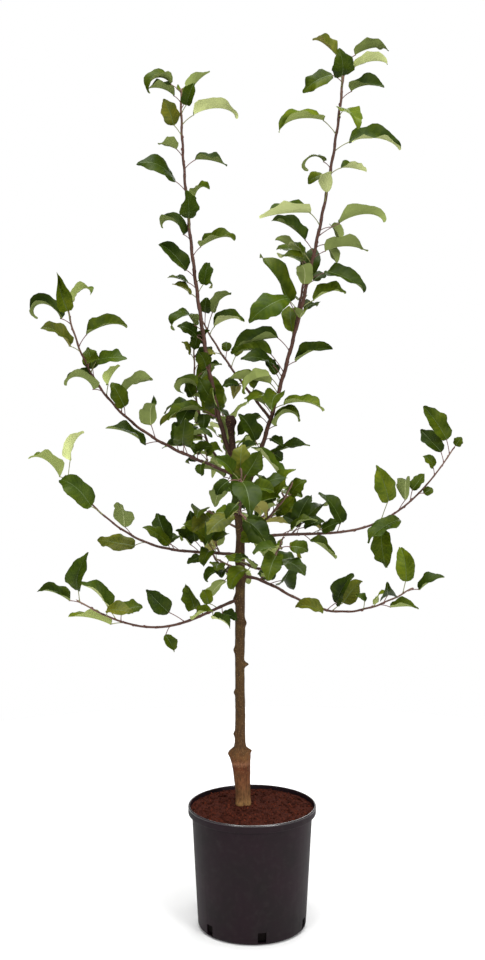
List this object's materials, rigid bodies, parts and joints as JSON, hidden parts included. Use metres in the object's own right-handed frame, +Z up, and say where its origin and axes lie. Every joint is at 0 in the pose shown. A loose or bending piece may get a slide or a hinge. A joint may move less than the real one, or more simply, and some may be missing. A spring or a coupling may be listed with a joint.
{
  "type": "potted red-fleshed apple tree",
  "caption": "Young fruit tree with a slender grafted trunk and open, upswept leafy limbs, standing in a round black nursery pot.",
  "frame": {"origin": "centre of the pot's flat underside, on which the plant stands", "axes": "+Z up along the trunk, -Y towards the viewer, +X to the viewer's right"},
  "size_m": [0.8272, 0.7333, 1.6336],
  "materials": {
    "pot_plastic": "semi-matte black moulded plastic",
    "compost": "dark red-brown loose compost",
    "bark": "young grey-brown bark, dull",
    "foliage": "green leaves, satin above and downy pale beneath"
  },
  "bodies": {
    "root": {"compost": "compost", "crossing_shoot_bough": "bark", "crossing_shoot_foliage": "foliage", "inner_left_shoot_bough": "bark", "inner_left_shoot_foliage": "foliage", "inner_right_shoot_bough": "bark", "inner_right_shoot_foliage": "foliage", "left_back_bough": "bark", "left_back_foliage": "foliage", "left_spur_bough": "bark", "left_spur_foliage": "foliage", "left_upright_bough": "bark", "left_upright_foliage_1": "foliage", "left_upright_foliage_2": "foliage", "left_upright_foliage_3": "foliage", "lower_front_bough": "bark", "lower_front_foliage": "foliage", "lower_left_bough": "bark", "lower_left_inner_foliage": "foliage", "lower_left_outer_foliage": "foliage", "lower_right_bough": "bark", "lower_right_inner_foliage": "foliage", "lower_right_outer_foliage": "foliage", "middle_left_bough": "bark", "middle_left_inner_foliage": "foliage", "middle_left_outer_foliage": "foliage", "middle_right_bough": "bark", "middle_right_inner_foliage": "foliage", "middle_right_outer_foliage": "foliage", "pot": "pot_plastic", "right_back_bough": "bark", "right_back_foliage": "foliage", "right_side_shoot_bough": "bark", "right_side_shoot_foliage": "foliage", "right_upright_bough": "bark", "right_upright_foliage_1": "foliage", "right_upright_foliage_2": "foliage", "right_upright_foliage_3": "foliage", "right_upright_foliage_4": "foliage", "trunk": "bark", "upper_back_bough": "bark", "upper_back_foliage": "foliage", "upper_front_bough": "bark", "upper_front_foliage": "foliage", "upper_left_bough": "bark", "upper_left_inner_foliage": "foliage", "upper_left_outer_foliage": "foliage", "upper_left_spur_bough": "bark", "upper_left_spur_foliage": "foliage"}
  },
  "joints": []
}
